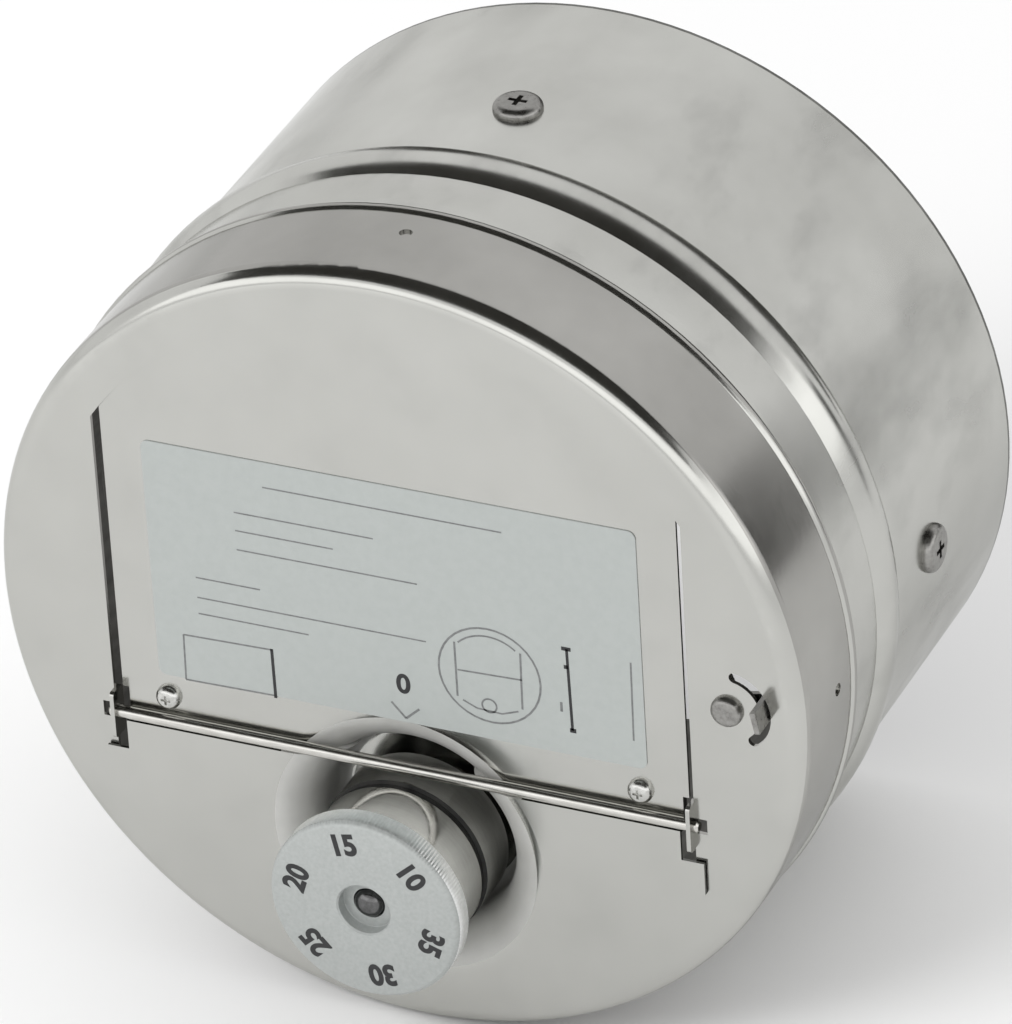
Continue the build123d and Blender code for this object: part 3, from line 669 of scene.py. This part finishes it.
# %% Gap in the weight
GAP_DARK = (0.012, 0.012, 0.012)
GAP_LIGHT = (0.03, 0.03, 0.028)
GAP_GLOSS = (0.5, 0.7)
GAP_DEPTH = 0.6 * MM
FRONT_FACING = -0.3
gap_black = new_finish("gap_black", 0.0)
skin(gap_black)["Specular IOR Level"].default_value = 0.1
gap_dust = grain(gap_black, scale=300.0, detail=3.0)
speckle(gap_black, gap_dust, GAP_DARK, GAP_LIGHT, GAP_GLOSS)
dress(gap_black, "gap_ring")
rear_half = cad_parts["weight_rear"]
rear_half.data.materials.append(gap_black)
rear_front_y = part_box("weight_rear")[0].y
blackened = 0
for face in rear_half.data.polygons:
    if face.center.y < rear_front_y + GAP_DEPTH and face.normal.y < FRONT_FACING:
        face.material_index = 1
        blackened += 1
print("faces in the gap blackened:", blackened)

# %% [markdown]
# The scale label is a thin film of pale, slightly bluish plastic with a faint sheen, stuck on
# the flap. One plain colour would come close, but a very fine noise breaks up the sheen, as the
# film's own texture does.

# %% Label film
FILM_DARK = (0.376, 0.400, 0.388)
FILM_LIGHT = (0.396, 0.420, 0.408)
FILM_GLOSS = (0.35, 0.5)
label_film = new_finish("label_film", 0.0)
film_grain = grain(label_film, scale=700.0, detail=3.0)
speckle(label_film, film_grain, FILM_DARK, FILM_LIGHT, FILM_GLOSS)
dress(label_film, "label_plate")

# %% [markdown]
# The next pieces are round. A screw modifier could spin an outline, but a lathe in code does
# more: it carries a list of radii and depths round an axis, and a shape function may change
# the radius as it goes. That cuts grooves, threads and hexagons with the same few lines.

# %% A lathe
SMOOTH_DEG = 35


def soften(made, degrees):
    shell = bmesh.new()
    shell.from_mesh(made.data)
    bmesh.ops.recalc_face_normals(shell, faces=shell.faces[:])
    shell.to_mesh(made.data)
    shell.free()
    for face in made.data.polygons:
        face.use_smooth = True
    made.data.set_sharp_from_angle(angle=math.radians(degrees))


def turned(name, rings, steps, axis_x, axis_z, shape, closed=False):
    points = []
    faces = []
    for radius, depth in rings:
        for i in range(steps):
            turn = 2 * math.pi * i / steps
            r = shape(radius, depth, turn)
            points.append((axis_x + r * math.cos(turn), depth, axis_z + r * math.sin(turn)))
    rows = len(rings)
    for row in range(rows if closed else rows - 1):
        low = row * steps
        high = (row + 1) % rows * steps
        for i in range(steps):
            j = (i + 1) % steps
            faces.append((low + i, high + i, high + j, low + j))
    if not closed:
        faces.append(tuple(range(steps)))
        faces.append(tuple(range((rows - 1) * steps, rows * steps)))
    made = mesh_object(name, points, faces)
    soften(made, SMOOTH_DEG)
    return made


print("lathe ready, smooth under", SMOOTH_DEG, "degrees")

# %% [markdown]
# The dial is a turned aluminium disc, blasted to a pale matt grey so that the numbers can be
# read without glare, and its edge is knurled with fine grooves for the fingers. The solid has
# flutes of its own and could be kept, but here the whole disc is turned again with the face a
# hair lower, so that the numbers can lie on it and still stay inside the solid's size. A fine,
# dense noise as relief gives the blasted grain.

# %% Dial finish
BLAST_DARK = (0.372, 0.390, 0.381)
BLAST_LIGHT = (0.427, 0.445, 0.436)
BLAST_GLOSS = (0.42, 0.55)
BLAST_DEPTH = 0.01 * MM
blasted_dial = new_finish("blasted_dial", 0.35)
blast = grain(blasted_dial, scale=1500.0, detail=2.0)
speckle(blasted_dial, blast, BLAST_DARK, BLAST_LIGHT, BLAST_GLOSS)
relief(blasted_dial, blast, BLAST_DEPTH)
knurled_edge = bright_steel("knurled_edge", (0.80, 0.81, 0.81), (0.90, 0.91, 0.91), (0.28, 0.36))
print("dial finishes:", blasted_dial.name, knurled_edge.name)

# %% Outline of the dial
DIAL_R = (dial_high.z - dial_low.z) / 2
FACE_SUNK = 0.06 * MM
BORE_R = 3.05 * MM
RECESS_R = 5.0 * MM
RECESS_DEPTH = 2.6 * MM
CORNER = 0.1 * MM
RECESS_BEVEL = 0.3 * MM
EDGE_BEVEL = 0.9 * MM
GROOVES = 180
GROOVE_HALF_DEPTH = 0.035 * MM
GROOVED_FROM = DIAL_R - 0.6 * MM
dial_front = dial_low.y + FACE_SUNK
recess_floor = dial_low.y + RECESS_DEPTH


def knurl(radius, depth, turn):
    if radius < GROOVED_FROM:
        return radius
    return radius - GROOVE_HALF_DEPTH * (1 + math.cos(GROOVES * turn))


dial_rings = [
    (BORE_R, recess_floor),
    (RECESS_R - CORNER, recess_floor),
    (RECESS_R, recess_floor - CORNER),
    (RECESS_R, dial_front + RECESS_BEVEL),
    (RECESS_R + RECESS_BEVEL, dial_front),
    (DIAL_R - 1.0 * MM, dial_front),
    (DIAL_R - 0.45 * MM, dial_front + 0.25 * MM),
    (DIAL_R, dial_front + EDGE_BEVEL),
    (DIAL_R, dial_high.y - EDGE_BEVEL),
    (DIAL_R - EDGE_BEVEL, dial_high.y),
    (BORE_R, dial_high.y),
]
print("outline of the dial:", len(dial_rings), "rings")

# %% Knurled dial
STEPS_PER_GROOVE = 6
BRIGHT_FROM = DIAL_R - 0.2 * MM
knurled_dial = turned("knurled_dial", dial_rings, GROOVES * STEPS_PER_GROOVE, 0, DIAL_Z, knurl, closed=True)
knurled_dial.data.materials.append(blasted_dial)
knurled_dial.data.materials.append(knurled_edge)
for face in knurled_dial.data.polygons:
    from_axis = math.hypot(face.center.x, face.center.z - DIAL_Z)
    face.material_index = 1 if from_axis > BRIGHT_FROM else 0
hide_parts("dial_disc")
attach(knurled_dial, "knob")
print("dial turned, radius", round(DIAL_R, 4))

# %% [markdown]
# The scale is printed in black ink, six numbers evenly round the face with their tops outwards.
# Ink has no thickness worth modelling, and could be a texture, but a flat outline of each figure
# two hundredths of a millimetre over the face prints sharper. Blender's own font gives the
# outlines, which are scaled to height, narrowed a little and turned to their places.

# %% Two inks
INK_GLOSS = (0.45, 0.6)
INK_OVER = 0.02 * MM


def printing_ink(name, dark, light):
    finish = new_finish(name, 0.0)
    ink_grain = grain(finish, scale=900.0, detail=2.0)
    speckle(finish, ink_grain, dark, light, INK_GLOSS)
    return finish


black_ink = printing_ink("black_ink", (0.010, 0.010, 0.011), (0.022, 0.022, 0.024))
grey_ink = printing_ink("grey_ink", (0.13, 0.135, 0.135), (0.20, 0.205, 0.205))
print("inks:", black_ink.name, grey_ink.name)


# %% Outline of a figure
def figure_outline(text, height, weight):
    # Flat outline of a number: points centred on zero, and its faces
    curve = bpy.data.curves.new("figure", "FONT")
    curve.body = text
    curve.offset = weight
    holder = bpy.data.objects.new("figure", curve)
    bpy.context.collection.objects.link(holder)
    bpy.context.view_layer.update()
    filled = holder.evaluated_get(bpy.context.evaluated_depsgraph_get())
    flat = bpy.data.meshes.new_from_object(filled)
    xs = [v.co.x for v in flat.vertices]
    ys = [v.co.y for v in flat.vertices]
    size = height / (max(ys) - min(ys))
    mid_x = (max(xs) + min(xs)) / 2
    mid_y = (max(ys) + min(ys)) / 2
    points = [((v.co.x - mid_x) * size, (v.co.y - mid_y) * size) for v in flat.vertices]
    faces = [tuple(face.vertices) for face in flat.polygons]
    bpy.data.objects.remove(holder)
    bpy.data.curves.remove(curve)
    bpy.data.meshes.remove(flat)
    return points, faces


print("helper: figure_outline")

# %% Numbers on the dial
NUMBERS = ("10", "15", "20", "25", "30", "35")
FIRST_NUMBER_DEG = 42
NUMBER_STEP_DEG = 60
NUMBER_RING = 13.6 * MM
NUMBER_H = 4.6 * MM
NUMBER_WEIGHT = 0.042
NUMBER_NARROW = 0.92
NUMBER_Y = dial_front - INK_OVER
number_points = []
number_faces = []
for i, number in enumerate(NUMBERS):
    turn = math.radians(FIRST_NUMBER_DEG + NUMBER_STEP_DEG * i)
    outward = (math.cos(turn), math.sin(turn))
    along = (math.sin(turn), -math.cos(turn))
    points, faces = figure_outline(number, NUMBER_H, NUMBER_WEIGHT)
    start = len(number_points)
    for across, up in points:
        x = (NUMBER_RING + up) * outward[0] + across * NUMBER_NARROW * along[0]
        z = (NUMBER_RING + up) * outward[1] + across * NUMBER_NARROW * along[1]
        number_points.append((x, NUMBER_Y, DIAL_Z + z))
    number_faces += [tuple(start + k for k in face) for face in faces]
dial_numbers = mesh_object("dial_numbers", number_points, number_faces)
dial_numbers.data.materials.append(black_ink)
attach(dial_numbers, "knob")
print("numbers:", len(number_faces), "faces")

# %% [markdown]
# The label on the flap explains the setting: a nought over an arrow head that the dial's
# numbers are read against, a line drawing of the flap from the front and from the side, an
# empty ruled box and some empty lines to write on. Curves with a bevel would be round like
# wire, so each printed line is a thin flat strip, drawn with one of two pens: a straight one
# and one for arcs.

# %% Two pens
label_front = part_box("label_plate")[0].y
PRINT_Y = label_front - INK_OVER
BLACK = 0
GREY = 1
ARC_STEPS = 36
print_points = []
print_faces = []
print_inks = []


def ruled(ink_slot, width, *corners):
    half = width * MM / 2
    for (x0, z0), (x1, z1) in zip(corners, corners[1:]):
        run = Vector((x1 - x0, z1 - z0)).normalized()
        side = Vector((-run.y, run.x)) * half
        start = len(print_points)
        for x, z, sign in ((x0, z0, 1), (x0, z0, -1), (x1, z1, -1), (x1, z1, 1)):
            print_points.append((x * MM + sign * side.x, PRINT_Y, z * MM + sign * side.y))
        print_faces.append((start, start + 1, start + 2, start + 3))
        print_inks.append(ink_slot)


def ruled_arc(ink_slot, width, x, z, radius, from_deg=0, to_deg=360):
    corners = []
    for i in range(ARC_STEPS + 1):
        turn = degrees_along(from_deg, to_deg, i, ARC_STEPS)
        corners.append((x + radius * math.cos(turn), z + radius * math.sin(turn)))
    ruled(ink_slot, width, *corners)


print("printing at", round(PRINT_Y, 5))

# %% Arrow head and front view
# Widths, and places as x and z on the flap, are in millimetres
THIN = 0.35
FINE = 0.4
FRONT_VIEW = (18.0, -0.6)
# The arrow head under the nought
ruled(GREY, 0.45, (-1.6, -10.2), (1.1, -13.2), (3.8, -10.7))
# The flap from the front
ruled_arc(GREY, FINE, *FRONT_VIEW, 9.8)
ruled(GREY, FINE, (11.5, 5.2), (11.5, -6.2))
ruled(GREY, FINE, (24.2, 5.4), (24.0, -6.4))
ruled(GREY, THIN, (11.8, -0.6), (24.2, -0.2))
ruled_arc(GREY, THIN, *FRONT_VIEW, 8.2, 50, 135)
ruled(GREY, THIN, (12.5, -6.8), (15.2, -8.0), (20.0, -8.2), (23.2, -7.0))
ruled_arc(GREY, THIN, 17.6, -7.0, 1.4)
print("arrow head and front view:", len(print_faces), "strips")

# %% Side view, empty box and rules
WRITING = 0.3
MEDIUM = 0.5
HEAVY = 0.8
# The flap from the side
ruled(BLACK, 0.55, (33.2, 8.2), (33.5, -8.8))
ruled(BLACK, HEAVY, (32.2, 8.2), (34.0, 8.2))
ruled(BLACK, HEAVY, (32.5, 4.4), (33.3, 4.4))
ruled(GREY, MEDIUM, (31.6, -3.2), (31.6, -5.2))
ruled(BLACK, 0.9, (33.0, -8.8), (34.2, -8.8))
# The empty box, with a heavier line on its right
ruled(GREY, THIN, (-42.0, -4.6), (-24.6, -4.2))
ruled(GREY, THIN, (-42.0, -4.6), (-42.2, -14.2), (-24.6, -13.9))
ruled(BLACK, 0.6, (-24.6, -4.0), (-24.5, -14.4))
# A rule near the right end, and empty lines to write on
ruled(GREY, THIN, (45.4, 8.0), (45.2, -8.4))
ruled(GREY, WRITING, (-24, 30.0), (22, 30.0))
ruled(GREY, WRITING, (-30, 23.6), (-3, 23.6))
ruled(GREY, WRITING, (-30, 19.8), (-11, 19.8))
ruled(GREY, WRITING, (-30, 15.8), (5, 15.8))
ruled(GREY, WRITING, (-38.6, 8.2), (-26, 8.2))
ruled(GREY, WRITING, (-38.6, 4.0), (6, 4.0))
ruled(GREY, WRITING, (-38.6, 0.6), (-17, 0.6))
print("lines drawn:", len(print_faces), "strips")

# %% The nought, and the finished print
NOUGHT_X = 1.0 * MM
NOUGHT_Z = -5.9 * MM
NOUGHT_H = 4.2 * MM
NOUGHT_WEIGHT = 0.03
points, faces = figure_outline("0", NOUGHT_H, NOUGHT_WEIGHT)
start = len(print_points)
print_points += [(NOUGHT_X + across, PRINT_Y, NOUGHT_Z + up) for across, up in points]
print_faces += [tuple(start + k for k in face) for face in faces]
print_inks += [BLACK] * len(faces)
label_print = mesh_object("label_print", print_points, print_faces)
label_print.data.materials.append(black_ink)
label_print.data.materials.append(grey_ink)
for face, ink_slot in zip(label_print.data.polygons, print_inks):
    face.material_index = ink_slot
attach(label_print, "flap")
print("label print:", len(print_faces), "faces")

# %% [markdown]
# The spindle is a length of threaded rod with a domed tip, which shows in the hole of the
# dial; its steel is painted dark, as painted reflection of the dark cloth in the dome. A thread
# could be bump alone, but its outline would stay straight. It is a radius that rises and falls
# with depth and shifts once round per pitch, so the same lathe cuts it.

# %% Threaded spindle
spindle_low, spindle_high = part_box("weight_spindle")
SPINDLE_R = (spindle_high.z - spindle_low.z) / 2
SPINDLE_LENGTH = spindle_high.y - spindle_low.y
SPINDLE_SIDES = 28
THREAD_PITCH = 1.0 * MM
THREAD_DEPTH = 0.42 * MM
THREAD_ROW = 0.125 * MM
TIP_H = 2.4 * MM
TIP_END_R = 0.05 * MM


def thread(radius, depth, turn):
    phase = (depth / THREAD_PITCH + turn / (2 * math.pi)) % 1.0
    cut = THREAD_DEPTH * abs(2 * phase - 1)
    below_tip = min((depth - spindle_low.y) / TIP_H, 1.0)
    dome = radius * math.sqrt(1.0 - (1.0 - below_tip) ** 2)
    return max(min(radius - cut, dome), TIP_END_R)


thread_rows = int(SPINDLE_LENGTH / THREAD_ROW)
thread_depths = [spindle_low.y + SPINDLE_LENGTH * i / thread_rows for i in range(thread_rows + 1)]
thread_rings = [(SPINDLE_R, depth) for depth in thread_depths]
threaded_spindle = turned("threaded_spindle", thread_rings, SPINDLE_SIDES, 0, DIAL_Z, thread)
# painted reflection: the spindle's steel is dark, for the dark cloth seen in its domed tip
painted_dark_steel = bright_steel("painted_dark_steel", (0.10, 0.10, 0.10), (0.15, 0.15, 0.15), (0.14, 0.22))
threaded_spindle.data.materials.append(painted_dark_steel)
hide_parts("weight_spindle")
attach(threaded_spindle, "flap")
print("spindle threaded,", thread_rows, "rows")

# %% [markdown]
# The nuts behind the flap are six-sided bars with both ends turned to a cone. A cylinder with
# six sides and a bevel comes close, but misses the curved line where cone and flat meet. The
# lathe finds it by taking the smaller of two radii: that of the flats at this angle, and that
# of the cone at this depth.

# %% How a nut is cut
NUT_STEPS = 72
CONE_START = 0.985
CONE_SLOPE = 1.7
CONE_ROWS = 5
CONE_ROW = 0.02
BORE_EDGE = 0.3 * MM


def hex_nut(name, node, flats, bore, axis_x, axis_z):
    low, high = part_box(node)

    def six_sides(radius, depth, turn):
        if radius < flats / 2:
            return radius
        flat_r = flats / 2 / math.cos((turn + math.pi / 6) % (math.pi / 3) - math.pi / 6)
        from_end = min(depth - low.y, high.y - depth)
        return min(flat_r, flats / 2 * CONE_START + CONE_SLOPE * from_end)

    rings = [(bore, low.y), (bore + BORE_EDGE, low.y), (flats, low.y)]
    rings += [(flats, low.y + flats * CONE_ROW * i) for i in range(1, CONE_ROWS + 1)]
    rings += [(flats, high.y - flats * CONE_ROW * i) for i in range(CONE_ROWS, 0, -1)]
    rings += [(flats, high.y), (bore + BORE_EDGE, high.y), (bore, high.y)]
    nut = turned(name, rings, NUT_STEPS, axis_x, axis_z, six_sides, closed=True)
    nut.data.materials.append(plated_screw)
    return nut


print("nuts are cut in", NUT_STEPS, "steps")

# %% Hexagon nuts
BACK_FLATS = 10.0 * MM
BACK_BORE_R = 3.0 * MM
SMALL_FLATS = 5.5 * MM
SMALL_BORE_R = 1.5 * MM
back_nut_hex = hex_nut("back_nut_hex", "back_nut", BACK_FLATS, BACK_BORE_R, 0, DIAL_Z)
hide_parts("back_nut")
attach(back_nut_hex, "flap")
nuts_low, nuts_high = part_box("flap_nuts")
nut_x = nuts_high.x - SMALL_FLATS / math.sqrt(3)
nut_z = (nuts_low.z + nuts_high.z) / 2
for side, tag in ((-1, "left"), (1, "right")):
    nut = hex_nut("flap_nut_" + tag, "flap_nuts", SMALL_FLATS, SMALL_BORE_R, side * nut_x, nut_z)
    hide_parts("flap_nuts")
    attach(nut, "flap")
print("three nuts cut")

# %% [markdown]
# A wire spring behind the weight takes the play out of the thread. A curve with a round bevel
# would give the same wire, but here its ends are closed too. A real spring gets shorter when the
# dial is turned home, but a drawn one can't, so it is wound here at its shortest: half a
# millimetre stays free at the front end, inside the pot, where the washer comes back to.

# %% Spring
spring_low, spring_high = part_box("backlash_spring")
WIRE_R = 0.6 * MM
WIRE_SIDES = 10
WIRE_SMOOTH_DEG = 50
COIL_R = (spring_high.z - spring_low.z) / 2 - WIRE_R
COIL_TURNS = 3
COIL_FREE = 0.5 * MM
STEPS_PER_TURN = 36
coil_front = spring_low.y + WIRE_R + COIL_FREE
coil_back = spring_high.y - WIRE_R
coil_steps = COIL_TURNS * STEPS_PER_TURN
coil_points = []
coil_faces = []
for i in range(coil_steps + 1):
    turn = 2 * math.pi * i / STEPS_PER_TURN
    depth = coil_front + (coil_back - coil_front) * i / coil_steps
    for k in range(WIRE_SIDES):
        side = 2 * math.pi * k / WIRE_SIDES
        r = COIL_R + WIRE_R * math.cos(side)
        y = depth + WIRE_R * math.sin(side)
        coil_points.append((r * math.cos(turn), y, DIAL_Z + r * math.sin(turn)))
        if i:
            here = i * WIRE_SIDES
            after = here + (k + 1) % WIRE_SIDES
            coil_faces.append((here + k, after, after - WIRE_SIDES, here + k - WIRE_SIDES))
coil_faces.append(tuple(range(WIRE_SIDES)))
coil_faces.append(tuple(range(coil_steps * WIRE_SIDES, (coil_steps + 1) * WIRE_SIDES)))
wound_spring = mesh_object("wound_spring", coil_points, coil_faces)
soften(wound_spring, WIRE_SMOOTH_DEG)
wound_spring.data.materials.append(drawn_wire)
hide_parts("backlash_spring")
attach(wound_spring, "flap")
print("spring wound,", COIL_TURNS, "turns")
